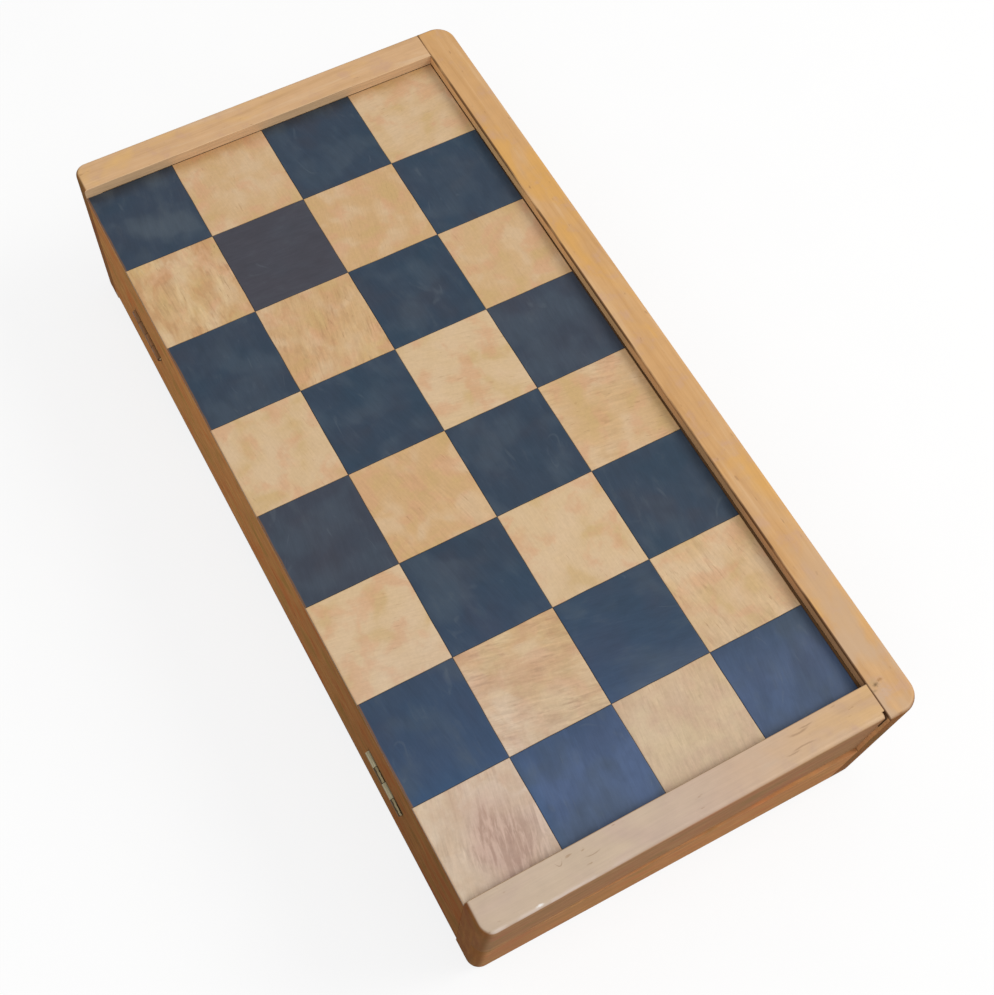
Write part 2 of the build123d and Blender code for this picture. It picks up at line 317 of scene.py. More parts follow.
def rim_colours(f, axis, palette, lining):
    """What the rims and outer walls share: golden top, brown sides, darker end grain and a raw tray.

    Returns the colour, the fibres for the bump, and the roughness: satin on top, dull on the sides."""
    fibres = f.noise(f.along(axis, 24), 0.55, 3, 0.65)
    smudges = f.noise(f.place, 7, 4, 0.6)
    side = end_wall_side(f) if axis == "x" else brown_side(f, axis, FRONT_WALL_BROWNS, 0.35)
    upward = f.product(f.facing("z", 0.25, 0.9), f.ramp(from_seam(f), 2, 4))
    colour = f.layered(
        side,
        (upward, rim_top(f, axis, palette, fibres, smudges)),
        (f.facing(axis, 0.2, 0.7), brown_side(f, "z", END_GRAIN_BROWNS)),
        (rim_mask(f), f.shaded(lining, f.ramp(fibres, 0.2, 0.8, 0.85, 1.1))),
        (tray_mask(f), raw_wood(f, fibres)),
    )
    roughness = f.math("ADD", 1.0, f.product(upward, f.ramp(smudges, 0.3, 0.7, -0.6, -0.45)))
    return colour, fibres, roughness


# The painted shade inside the opened joint at the near front corner
JOINT_SHADE_BROWN = srgb(66, 42, 22)


def in_joint(f, west, east):
    """1 inside the opened joint at the near front corner, between two distances from the rim's edge."""
    return f.product(
        f.ramp(f.x, RIM_AT + west - 0.1, RIM_AT + west),
        f.ramp(f.x, RIM_AT + east + 0.1, RIM_AT + east),
        f.ramp(f.y, NEAR_AT + 2.3, NEAR_AT + 2.1),
        f.ramp(f.y, NEAR_AT - 0.3, NEAR_AT - 0.1),
        f.ramp(f.z, TOP_AT - 10.4, TOP_AT - 9.8),
    )


def joint_shade_depth(f, at_top):
    """How dark the painted shade in the joint is: so much at the rims' top, and more below it."""
    return f.ramp(f.z, TOP_AT - 0.6, TOP_AT - 2.4, at_top, 0.9)


# The knot by the near front corner, spot by spot: X and Y, half widths in millimetres, share and colour
KNOT = (
    (65.0, -142.6, 3.2, 3.6, 0.7, srgb(202, 172, 150)),
    (63.4, -138.6, 3.0, 2.2, 0.6, srgb(190, 160, 122)),
    (63.9, -139.4, 1.3, 1.0, 0.85, srgb(112, 86, 58)),
    (66.0, -138.5, 1.7, 0.8, 0.7, srgb(158, 112, 66)),
    (62.4, -140.9, 1.4, 0.7, 0.5, srgb(140, 118, 84)),
)


def front_wood():
    """The full-length rim and wall on the front, with its knot and the dark line along its inner arris."""
    f = Finish("front_wood", Specular_IOR_Level=0.15)
    palette = srgb(211, 165, 113), srgb(220, 180, 134), srgb(196, 148, 95), srgb(219, 167, 95)
    lining = f.mix(f.ramp(f.y, -130, 110), srgb(188, 142, 100), srgb(232, 184, 128))
    colour, fibres, roughness = rim_colours(f, "y", palette, lining)
    # The top grows paler towards the near end: painted sheen with cloudy varnish, broken up by noise
    sheen_and_cloud = f.ramp(f.noise(f.along("y", 2), 8, 3), 0.62, 0.4)
    pale = f.product(f.ramp(f.y, -40, -150), f.facing("z", 0.3, 0.9), f.ramp(f.z, 60, 64), sheen_and_cloud, 0.9)
    colour = f.mix(pale, colour, srgb(202, 170, 138))
    edge = f.math("ABSOLUTE", f.math("SUBTRACT", f.x, RIM_AT + 0.1))
    uneven = f.ramp(f.noise(f.along("y", 4), 5, 3), 0.3, 0.55, 0.2, 1)
    over = f.product(f.ramp(from_seam(f), TOP_RISE - 1.2, TOP_RISE - 0.9), f.ramp(f.z, 0, 60))
    colour = f.mix(f.product(f.ramp(edge, 0.5, 0.15), over, uneven, 0.85), colour, srgb(92, 58, 30))
    for x, y, wide, high, share, tint in KNOT:
        colour = f.mix(f.product(spot(f, x, y, wide, high, 1.6, 1.1), share), colour, tint)
    # Painted light: the front wall's proud near end is made lighter, lifting the shade that falls in its
    # corner
    proud_end_painted_light = f.product(f.ramp(f.x, RIM_AT + 0.2, RIM_AT), f.ramp(f.y, NEAR_AT + 0.2, NEAR_AT - 0.1))
    colour = f.tinted(proud_end_painted_light, colour, 1.3, 1.32, 1.3)
    # Painted shade inside the opened joint, darker lower down
    colour = f.mix(f.product(in_joint(f, -0.2, 0.15), joint_shade_depth(f, 0.4)), colour, JOINT_SHADE_BROWN)
    return f.finish(colour, roughness, fibres, 0.03)


# Dark mineral streaks on the near rim, in millimetres: X and Y of the middle, half length, width and bend
MINERAL_STREAKS = (
    (35, -140.8, 4.5, 0.4, 0.035), (38, -140.0, 3, 0.25, 0.03), (34, -144.6, 5, 0.3, -0.02),
    (30, -145.4, 3, 0.25, 0.03), (-47, -141.5, 1.6, 0.25, 0.9), (-37, -143, 3, 0.2, 0.05),
)


def end_wood():
    """The rims and walls across both ends, with the near one's dark mineral streaks, and its worn arris
    with a painted highlight and a painted glint.
    """
    f = Finish("end_wood", Specular_IOR_Level=0.15)
    palette = srgb(215, 174, 131), srgb(223, 190, 153), srgb(202, 160, 114), srgb(224, 180, 118)
    # The far rim's lining is lighter: a painted sheen on its inner face
    lining = f.mix(f.ramp(f.y, -20, 20), srgb(172, 140, 108), srgb(224, 186, 144))
    colour, fibres, roughness = rim_colours(f, "x", palette, lining)
    colour = f.shaded(colour, f.ramp(f.y, 20, -130, 1, 0.92))
    for place in MINERAL_STREAKS:
        colour = f.mix(f.product(streak(f, *place), 0.45), colour, srgb(136, 102, 78))
    # A pale band along the near rim's worn outer arris, wear with a painted highlight, and a painted glint
    # on a nick by the near hinge corner
    ragged = f.math("ADD", f.y, f.product(f.noise(f.along("x", 5), 1.6, 3), 1.4))
    rubbed = f.product(
        f.ramp(ragged, NEAR_AT + 2.2, NEAR_AT + 1),
        f.ramp(f.x, -20, -50),
        f.facing("z", 0.25, 0.6),
        f.ramp(f.z, 55, 60),
        f.ramp(f.noise(f.along("x", 2), 3, 2), 0.35, 0.6, 0.1, 0.6),
    )
    nick_glint = f.product(spot(f, -57.5, -148.4, 1.7, 0.55, 1.2, 0.9), 0.9)
    colour = f.layered(colour, (rubbed, srgb(226, 210, 200)), (nick_glint, srgb(246, 242, 238)))
    # Painted shade inside the opened joint, darker lower down
    gap = f.product(in_joint(f, -1.1, 0), f.ramp(f.y, NEAR_AT + 0.3, NEAR_AT + 0.6))
    colour = f.mix(f.product(gap, joint_shade_depth(f, 0.35)), colour, JOINT_SHADE_BROWN)
    return f.finish(colour, roughness, fibres, 0.03)


# How strongly the wall round each hinge barrel takes painted shade over grimed wood
HINGE_SHADE_AND_GRIME = {"near_hinge_pin": 0.7, "far_hinge_pin": 0.45}


def hinge_side(f, fibres):
    """The brown of the hinge face, blotched, darker towards the near end, and darkened round the barrels
    with painted shade over grimed wood.
    """
    colour = brown_side(f, "y", HINGE_WALL_BROWNS)
    blots = f.noise(f.along("y", 3.5), 2.4, 4, 0.6, 0.3)
    colour = f.mix(f.ramp(blots, 0.58, 0.72, 0, 0.5), colour, srgb(136, 82, 52))
    colour = f.tinted(f.ramp(f.y, 55, -140), colour, 0.53, 0.49, 0.45)
    for pin, share in HINGE_SHADE_AND_GRIME.items():
        low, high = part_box(pin)
        beside = f.math("ABSOLUTE", f.math("SUBTRACT", f.y, (low.y + high.y) / 2 / MM))
        half = (high.y - low.y) / 2 / MM
        # Painted shade over grimed wood, in a band round the barrel
        shade_and_grime = f.product(f.ramp(beside, half + 1.2, half - 0.6), f.ramp(from_seam(f), 5.5, 1), share)
        colour = f.mix(shade_and_grime, colour, srgb(92, 72, 44))
    return f.shaded(colour, f.ramp(fibres, 0.25, 0.75, 0.87, 1.1))


def hinge_wall_wood():
    """The brown wall on the hinge side, with a line of painted shade in the seam between the halves."""
    f = Finish("hinge_wall_wood", Roughness=1.0, Specular_IOR_Level=0.1)
    fibres = f.noise(f.along("y", 30), 0.6, 3, 0.6)
    seam_shade = f.product(
        f.ramp(f.x, HINGE_AT + 0.25, HINGE_AT + 0.7),
        f.ramp(f.x, HINGE_AT + 3.5, HINGE_AT + 2),
        f.ramp(from_seam(f), 3, 2),
    )
    colour = f.layered(
        hinge_side(f, fibres),
        (f.product(seam_shade, 0.8), srgb(70, 46, 26)),
        (tray_mask(f), raw_wood(f, fibres)),
    )
    return f.finish(colour, None, fibres, 0.04)


def board_ply():
    """The thin boards: bare pale ply inside, brown with the hinge wall on their shown edge, and darkened by
    painted shade in the gap beside the front rim.
    """
    f = Finish("board_ply", Roughness=1.0, Specular_IOR_Level=0.1)
    fibres = f.noise(f.along("y", 20), 0.7, 4, 0.65)
    clouds = f.noise(f.along("y", 3), 14, 3, 0.5, 0.8)
    under_veneer = f.ramp(from_seam(f), VENEER_RISE - 0.75, VENEER_RISE - 0.35)
    # Painted shade on the ply that shows in the gap beside the front rim
    shade_beside_rim = f.product(f.ramp(f.x, RIM_AT - 2, RIM_AT - 1.6), under_veneer)
    colour = f.layered(
        f.mix(f.ramp(clouds, 0.3, 0.7), srgb(208, 176, 134), srgb(190, 152, 108)),
        (f.ramp(fibres, 0.62, 0.72, 0, 0.4), srgb(146, 106, 70)),
        (f.ramp(f.x, HINGE_AT + 0.3, HINGE_AT + 0.1), hinge_side(f, fibres)),
        (shade_beside_rim, srgb(126, 92, 60)),
    )
    return f.finish(colour, None, fibres, 0.05)


def veneer_plan(f):
    """A square's own coordinates, with the grain along Y, turned and moved by what its mesh carries."""
    shift = f.product(f.attribute("tone"), 400.0)
    moved = f.moved(f.place, f.add("CombineXYZ", {0: shift, 1: shift}).outputs[0])
    turned = {"Vector": moved, "Angle": f.attribute("turn")}
    return f.add("VectorRotate", turned, rotation_type="Z_AXIS").outputs[0]


def worn_edge(f):
    """1 along the board's hinge edge, where the finish has rubbed through, ragged on its inner side."""
    ragged = f.math("ADD", f.x, f.product(f.noise(f.along("y", 4), 2.2, 3), 0.8))
    return f.ramp(ragged, HINGE_AT + 1.2, HINGE_AT + 0.6)


def near_sheen_and_bloom(f):
    """How much painted sheen, with bloomed varnish, lies on the squares beside the near rim, from 0 to 1.
    """
    return f.ramp(f.y, NEAR_RIM_AT + 42, NEAR_RIM_AT + 16)


def shade_under_far_rim(f, colour):
    """The colour darkened brown by painted shade along the foot of the far rim."""
    ragged = f.math("ADD", f.y, f.product(f.noise(f.place, 5, 3, 0.6), 5))
    return f.tinted(f.ramp(ragged, FAR_RIM_AT - 4, FAR_RIM_AT + 2), colour, 0.8, 0.72, 0.64)


PINK_STAIN = (-56, -127)  # the middle of a pink stain on the near squares, X and Y in millimetres


def veneer_sheen_and_cloud(f, flat, waves):
    """The light squares' colour under painted sheen and cloudy varnish: milky, pink at its stain, yellower
    towards the front and at the hinge edge."""
    x, y = PINK_STAIN
    milky = f.noise(f.moved(flat, (9, 3, 71)), 9, 4, 0.6, 0.5)
    shares = f.ramp(milky, 0.35, 0.65)
    away = f.length(f.scaled(f.moved(f.place, (-x, -y, 0)), 1, 0.85, 0))
    pink = f.ramp(f.math("ADD", away, f.product(milky, 22)), 27, 15)
    return f.layered(
        f.mix(shares, srgb(216, 199, 184), srgb(198, 174, 156)),
        (f.product(pink, 0.9), f.mix(f.ramp(waves, 0.4, 0.62), srgb(194, 166, 154), srgb(174, 143, 132))),
        (f.ramp(f.x, -62, -73, 0, 0.5), srgb(206, 186, 160)),
        (f.ramp(f.x, -42, -22, 0, 0.8), f.mix(shares, srgb(202, 180, 146), srgb(194, 168, 144))),
    )


def light_veneer():
    """Pale mottled squares: soft patches, wavy figure along the grain and short brown pores, with painted
    sheen towards the near end and painted shade under the far rim.
    """
    f = Finish("light_veneer", Roughness=0.45, Specular_IOR_Level=0.3)
    flat = veneer_plan(f)
    tone, figure = f.attribute("tone"), f.attribute("figure")
    waves = f.noise(f.drawn(flat, 6), 1.3, 3, 0.55, 0.7)
    fibres = f.noise(f.drawn(flat, 12), 0.5, 3, 0.65)
    specks = f.noise(flat, 1.1, 3, 0.6)
    patches = f.noise(flat, 12, 2, 0.5, 0.3)
    warmth = f.noise(f.moved(flat, (53, 17, 9)), 9, 3, 0.55, 0.3)
    drifts = f.ramp(f.noise(f.moved(flat, (7, 41, 3)), 13, 2, 0.5, 0.3), 0.42, 0.58, 0.25, 1)
    swirls = f.noise(f.drawn(f.moved(flat, (19, 5, 37)), 2.6), 6, 3, 0.55, 0.6)
    bold = f.ramp(figure, 0.6, 1, 0, 0.55)
    wavy = f.product(f.ramp(waves, 0.54, 0.68), f.ramp(warmth, 0.4, 0.6), drifts)
    pore = f.ramp(f.noise(f.drawn(flat, 7), 0.75, 3, 0.6, 0.6), 0.6, 0.72)
    cluster = f.ramp(f.noise(flat, 9, 2), 0.44, 0.62)
    sheen_and_cloud = veneer_sheen_and_cloud(f, flat, waves)
    colour = f.layered(
        f.mix(tone, srgb(205, 166, 118), srgb(213, 183, 143)),
        (f.ramp(patches, 0.46, 0.66, 0, 0.6), srgb(216, 187, 152)),
        (f.ramp(patches, 0.48, 0.32, 0, 0.6), srgb(200, 167, 112)),
        (f.ramp(warmth, 0.48, 0.66, 0, 0.6), srgb(210, 162, 124)),
        (f.product(f.ramp(swirls, 0.52, 0.68), bold), srgb(222, 194, 150)),
        (f.product(f.ramp(swirls, 0.52, 0.38), bold), srgb(192, 143, 98)),
        (f.product(wavy, f.ramp(figure, 0.15, 1, 0, 0.45)), srgb(180, 132, 92)),
        (f.product(pore, cluster, f.ramp(figure, 0, 1, 0.3, 0.6)), srgb(152, 110, 72)),
        # Painted sheen with cloudy varnish towards the near hinge corner and by the near rim
        (f.product(sheen_and_clouding(f), 0.75), sheen_and_cloud),
        (f.product(near_sheen_and_bloom(f), 0.4), sheen_and_cloud),
    )
    swing = f.product(f.ramp(waves, 0.32, 0.68, 1, -1), drifts)
    shade = f.math("ADD", f.product(swing, f.ramp(figure, 0, 1, 0.02, 0.08)), 1.0)
    fine = f.product(f.ramp(fibres, 0.25, 0.75, 0.965, 1.035), f.ramp(specks, 0.25, 0.75, 0.965, 1.035))
    colour = f.layered(
        shade_under_far_rim(f, f.shaded(colour, f.product(shade, fine))),
        (f.product(worn_edge(f), 0.4), srgb(186, 140, 96)),
        (f.product(f.attribute("groove"), 0.8), srgb(84, 62, 46)),
    )
    height = f.math("ADD", fibres, f.product(pore, -0.6))
    return f.finish(colour, f.ramp(patches, 0.3, 0.7, 0.4, 0.5), height, 0.025)


def dark_veneer():
    """Blue-black stained squares: soft hazy stain, brown showing through on some, faint scratches, with a
    bluish painted sheen towards the near end and painted shade under the far rim.
    """
    f = Finish("dark_veneer", Roughness=0.45, Specular_IOR_Level=0.3)
    flat = veneer_plan(f)
    brown = f.attribute("brown")
    fibres = f.noise(f.drawn(flat, 12), 0.6, 3, 0.65)
    haze = f.noise(flat, 15, 2, 0.5, 0.3)
    hues = f.noise(f.moved(flat, (31, 77, 5)), 16, 2, 0.5, 0.3)
    wear = f.noise(f.drawn(flat, 2.5), 4, 5, 0.6, 0.3)
    wisps = f.noise(f.drawn(f.moved(flat, (61, 3, 8)), 1.8), 8, 3, 0.55, 0.5)
    # The bluish painted reflection, with bloomed varnish, on the squares by the near rim
    sheen_and_bloom = f.mix(f.ramp(f.x, -50, -38), srgb(52, 88, 124), srgb(80, 98, 132))
    far_hinge_corner = f.product(f.ramp(f.x, -42, -46), f.ramp(f.y, 104, 112), f.ramp(haze, 0.42, 0.62))
    colour = f.layered(
        f.mix(f.attribute("tone"), srgb(47, 62, 79), srgb(51, 66, 84)),
        (f.ramp(hues, 0.48, 0.7, 0, 0.5), srgb(40, 64, 83)),
        (f.ramp(hues, 0.48, 0.3, 0, 0.5), srgb(58, 62, 75)),
        (f.ramp(brown, 0, 1, 0, 0.9), srgb(70, 68, 76)),
        # Painted sheen with cloudy varnish towards the near hinge corner
        (f.product(sheen_and_clouding(f), 0.65), srgb(58, 82, 118)),
        (
            f.product(near_sheen_and_bloom(f), f.ramp(f.x, -20, 60, 0.75, 0.5)),
            f.shaded(sheen_and_bloom, f.ramp(wisps, 0.34, 0.66, 0.84, 1.12)),
        ),
        (f.product(f.ramp(haze, 0.44, 0.68, 0, 0.42), f.ramp(brown, 0.3, 1, 1, 0.25)), srgb(72, 85, 98)),
        (f.product(far_hinge_corner, 0.28), srgb(90, 100, 108)),
        (f.ramp(wear, 0.55, 0.74, 0, 0.16), srgb(88, 97, 103)),
    )
    shade = f.product(f.ramp(fibres, 0.25, 0.75, 0.95, 1.05), f.ramp(wear, 0.25, 0.6, 0.9, 1.02))
    winding = f.math("SUBTRACT", f.noise(f.drawn(flat, 2.2), 17, 2, 0.5, 0.5), 0.5)
    scratch = f.ramp(f.math("ABSOLUTE", winding), 0.012, 0.003)
    sparse = f.ramp(f.noise(flat, 7, 2), 0.52, 0.68)
    colour = f.layered(
        f.shaded(colour, shade),
        (f.product(scratch, sparse, 0.14), srgb(108, 118, 126)),
        (f.product(f.attribute("groove"), 0.8), srgb(38, 34, 38)),
    )
    colour = f.mix(f.product(worn_edge(f), 0.85), shade_under_far_rim(f, colour), srgb(128, 88, 52))
    return f.finish(colour, f.ramp(haze, 0.3, 0.7, 0.42, 0.52), fibres, 0.02)


def old_brass(f, bright, dull, tarnish):
    """Brass that is bright where rubbed and dull in patches. Tarnish is the dull share, from 0 to 1.

    Returns the colour, the clouds that part bright from dull, and the rubbed streaks."""
    clouds = f.noise(f.place, 2.2, 3, 0.6)
    rub = f.noise(f.along("y", 8), 0.4, 2)
    dulled = f.ramp(clouds, 0.75 - 0.6 * tarnish, 1.0 - 0.6 * tarnish)
    return f.shaded(f.mix(dulled, bright, dull), f.ramp(rub, 0.3, 0.7, 0.9, 1.05)), clouds, rub


def brass():
    """The old brass of the hooks, pins and screws."""
    f = Finish("brass", Metallic=1.0, Roughness=0.38)
    colour, clouds, rub = old_brass(f, srgb(196, 180, 140), srgb(120, 100, 66), 0.35)
    return f.finish(colour, f.ramp(clouds, 0.3, 0.7, 0.3, 0.5), rub, 0.01)


def leaf_brass(name, bright, shade_and_grime, tilt, low, high, metal):
    """A hinge leaf's brass. Its barrel is bright on the side that looks up, tilted by so many degrees
    towards the hinge face: a painted highlight on rubbed brass. The rest takes the given dark colour:
    painted shade over grimed brass. Low and high set how wide the bright side is."""
    f = Finish(name, Metallic=metal, Roughness=0.5, Specular_IOR_Level=0.2)
    colour, clouds, rub = old_brass(f, bright, srgb(130, 112, 80), 0.3)
    towards = (-math.sin(math.radians(tilt)), 0, math.cos(math.radians(tilt)))
    lit = f.add("VectorMath", {0: f.normal, 1: towards}, operation="DOT_PRODUCT").outputs["Value"]
    # The lit side of the barrel gets a painted highlight, and the rest painted shade over grimed brass
    rubbed = f.ramp(f.math("ADD", lit, f.ramp(clouds, 0.3, 0.7, -0.05, 0.05)), low, high)
    on_barrel = f.ramp(f.x, HINGE_AT + 1.4, HINGE_AT + 1.2)
    colour = f.mix(f.product(f.math("SUBTRACT", 1.0, rubbed), on_barrel), colour, shade_and_grime)
    return f.finish(colour, f.ramp(clouds, 0.3, 0.7, 0.4, 0.6), rub, 0.01)


def turned_wood(name, pale, deep, fleck):
    """A man's wood: grain across the face, moved on from man to man."""
    f = Finish(name, Roughness=0.35)
    each = f.add("ObjectInfo", {}).outputs["Random"]
    moved = f.moved(f.place, f.add("CombineXYZ", {0: f.product(each, 300.0), 2: each}).outputs[0])
    bands = f.noise(f.drawn(moved, 14), 2.2, 3, 0.6, 0.6)
    fibres = f.noise(f.drawn(moved, 14), 0.4, 3, 0.6)
    flecks = f.noise(f.drawn(moved, 5), 0.9)
    colour = f.mix(f.ramp(bands, 0.3, 0.7), pale, deep)
    colour = f.mix(f.ramp(flecks, 0.62, 0.72, 0, 0.4), colour, fleck)
    shade = f.product(f.ramp(fibres, 0.25, 0.75, 0.92, 1.06), f.ramp(each, 0, 1, 0.93, 1.05))
    return f.finish(f.shaded(colour, shade), None, fibres, 0.02)


WOOD_ALONG = front_wood()
WOOD_ACROSS = end_wood()
HINGE_WOOD = hinge_wall_wood()
PLY = board_ply()
LIGHT_VENEER = light_veneer()
DARK_VENEER = dark_veneer()
BRASS = brass()
BARREL_SHADE_AND_GRIME = srgb(78, 62, 40)
SHADED_RUST_BROWN = srgb(108, 74, 46)
# Each hinge leaf's name, bright colour for its barrel's lit side, the colour of painted shade over grimed
# brass on the rest, rusty on the far hinge, tilt, low and high share of bright, and how metallic it is
LEAF_BRASS = {
    "near_upper": leaf_brass("pale_leaf_brass", srgb(182, 172, 140), BARREL_SHADE_AND_GRIME, 0, 0.05, 0.5, 0.7),
    "near_lower": leaf_brass("grimed_leaf_brass", srgb(168, 154, 120), BARREL_SHADE_AND_GRIME, 22, 0.93, 0.98, 0.7),
    "far_upper": leaf_brass("browned_leaf_brass", srgb(148, 104, 66), SHADED_RUST_BROWN, 0, 0.4, 0.75, 0.1),
    "far_lower": leaf_brass("brown_leaf_brass", srgb(140, 98, 62), SHADED_RUST_BROWN, 22, 0.5, 0.9, 0.1),
}
LIGHT_TURNED = turned_wood("light_turned", srgb(212, 176, 126), srgb(192, 150, 98), srgb(146, 102, 64))
DARK_TURNED = turned_wood("dark_turned", srgb(40, 54, 76), srgb(30, 42, 62), srgb(60, 70, 84))


# Meshes and pieces

def new_piece(name, mesh, material, body, node):
    """A piece that takes a finish and a slot, stands for a CAD node and rides on a body."""
    mesh.materials.append(material)
    piece = bpy.data.objects.new(name, mesh)
    bpy.context.scene.collection.objects.link(piece)
    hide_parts(node)
    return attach(piece, body)


def mesh_from(bm, name, sharp=40):
    """A finished mesh, smooth but for edges sharper than so many degrees."""
    bmesh.ops.recalc_face_normals(bm, faces=bm.faces)
    mesh = bpy.data.meshes.new(name)
    bm.to_mesh(mesh)
    bm.free()
    mesh.shade_smooth()
    mesh.set_sharp_from_angle(angle=math.radians(sharp))
    return mesh


def lathe(profile, turns):
    """A closed turned solid about Z, from a profile of radii and heights in millimetres."""
    bm = bmesh.new()
    rings = []
    for r, z in profile:
        angles = [2 * math.pi * i / turns for i in range(turns)] if r else [0]
        rings.append([bm.verts.new((r * MM * math.cos(a), r * MM * math.sin(a), z * MM)) for a in angles])
    for a, b in zip(rings, rings[1:]):
        for i in range(turns):
            j = (i + 1) % turns
            corners = [a[i % len(a)], a[j % len(a)], b[j % len(b)], b[i % len(b)]]
            bm.faces.new(list(dict.fromkeys(corners)))
    return bm


def slotted(screw, width, depth, reach, top, turn):
    """The mesh with a screwdriver slot cut across its head, sizes in millimetres, about its own Z axis."""
    head = bpy.data.objects.new("screw_head", screw)
    cut = bpy.data.meshes.new("screw_cut")
    bm = bmesh.new()
    bmesh.ops.create_cube(bm, size=1)
    size = Matrix.Diagonal((reach * MM, width * MM, 2 * depth * MM, 1))
    bm.transform(Matrix.Translation((0, 0, top * MM)) @ Matrix.Rotation(turn, 4, "Z") @ size)
    bm.to_mesh(cut)
    bm.free()
    cutter = bpy.data.objects.new("screw_cutter", cut)
    for made in (head, cutter):
        bpy.context.scene.collection.objects.link(made)
    difference = head.modifiers.new("slot", "BOOLEAN")
    difference.object = cutter
    difference.operation = "DIFFERENCE"
    difference.solver = "EXACT"
    graph = bpy.context.evaluated_depsgraph_get()
    result = bpy.data.meshes.new_from_object(head.evaluated_get(graph))
    for made in (head, cutter):
        bpy.data.objects.remove(made)
    return result


def joined(meshes_at, name):
    """One mesh from several meshes, each with its place."""
    bm = bmesh.new()
    for mesh, at in meshes_at:
        mesh.transform(at)
        bm.from_mesh(mesh)
    return mesh_from(bm, name)


# The chequered boards

TILE_BEVEL = 0.22 * MM  # the rounded arris round each square
TILE_STEPS = 8  # faces along a square's edge, so that it can stray
WAVER, WAVER_LENGTH = 0.12 * MM, 9 * MM  # how far a joint line strays from straight, and over what length
SHRUNK = (0.1 * MM, 0.9 * MM)  # the gap beside the front rim, at the far and near ends
VALUES = ("tone", "turn", "brown", "figure")  # what each square's vertices carry for its finish


def chequer_lines():
    """The lines between squares: across the board from the hinge face, and along it from the far end."""
    xs = [HINGE_FACE] + [HINGE_FACE + FIRST_COLUMN + SQUARE * i for i in range(COLUMNS - 1)] + [RIM_X]
    ys = [RIM_FAR_Y] + [FAR_LINE - SQUARE * i for i in range(1, ROWS)] + [RIM_NEAR_Y]
    return xs, ys


def stray(line, lines, at, seed):
    """How far a line between squares strays at a distance along it. The squares on both sides share it."""
    if 0 < line < lines:
        return WAVER * noise.noise(Vector((at / WAVER_LENGTH, line * 7.3, seed)))
    return 0


def tile(bm, layers, column, row, xs, ys, values):
    """One veneer square: a flat top, rounded arrises and sides, its edges straying as hand-cut ones do."""
    west, east, south, north = xs[column], xs[column + 1], ys[row + 1], ys[row]

    def point(s, t, inset, z):
        x = west + inset + s * (east - west - 2 * inset)
        y = south + inset + t * (north - south - 2 * inset)
        at_west, at_east = stray(column, COLUMNS, y, 1.0), stray(column + 1, COLUMNS, y, 1.0)
        at_south, at_north = stray(row + 1, ROWS, x, 5.0), stray(row, ROWS, x, 5.0)
        if column == COLUMNS - 1:
            at_east -= SHRUNK[0] + (SHRUNK[1] - SHRUNK[0]) * (RIM_FAR_Y - y) / (RIM_FAR_Y - RIM_NEAR_Y)
        return Vector((x + at_west * (1 - s) + at_east * s, y + at_south * (1 - t) + at_north * t, z))

    # The steps across the top, with narrow ones at the edges so that the middle shades flat
    steps = [0, 0.008] + [i / TILE_STEPS for i in range(1, TILE_STEPS)] + [0.992, 1]
    n = len(steps) - 1
    border = [(i, 0) for i in range(n)] + [(n, i) for i in range(n)]
    border += [(n - i, n) for i in range(n)] + [(0, n - i) for i in range(n)]
    top = BOARD_Z - values["sunk"]
    grid = {
        (i, j): bm.verts.new(point(steps[i], steps[j], TILE_BEVEL, top))
        for i in range(n + 1) for j in range(n + 1)
    }
    rings = []
    arris = (0.35 * TILE_BEVEL, top - 0.3 * TILE_BEVEL, 0.5)
    for inset, z, groove in ((0, VENEER_Z, 1), (0, top - TILE_BEVEL, 1), arris):
        ring = [bm.verts.new(point(steps[i], steps[j], inset, z)) for i, j in border]
        for vert in ring:
            vert[layers["groove"]] = groove
        rings.append(ring)
    rings.append([grid[ij] for ij in border])
    for a, b in zip(rings, rings[1:]):
        for k in range(len(border)):
            m = (k + 1) % len(border)
            bm.faces.new((a[k], a[m], b[m], b[k]))
    for i in range(n):
        for j in range(n):
            bm.faces.new((grid[i, j], grid[i + 1, j], grid[i + 1, j + 1], grid[i, j + 1]))
    bm.faces.new(rings[0][::-1])
    for vert in [v for ring in rings[:-1] for v in ring] + list(grid.values()):
        for key in VALUES:
            vert[layers[key]] = values[key]


# Squares that stand out, by column and row: the upper board's where the stain has gone brown, and both
# boards' where the figure is bold and where the wood is pale, at 1, or deep, at 0
BROWNED = {(1, 1): 1.0, (0, 0): 0.2, (0, 2): 0.2, (0, 4): 0.5, (3, 3): 0.4}
FIGURED = {
    (0, 1): 1.0, (0, 7): 1.0, (1, 2): 0.8, (1, 6): 1.0, (2, 6): 0.8, (2, 7): 0.7, (3, 4): 0.6, (3, 6): 0.7,
}
TONES = {
    (0, 3): 0.9, (0, 5): 1.1, (1, 2): 0.2, (1, 4): 0.1, (1, 6): 0.0, (2, 1): 0.1, (2, 3): 1.2, (2, 5): 1.1,
}


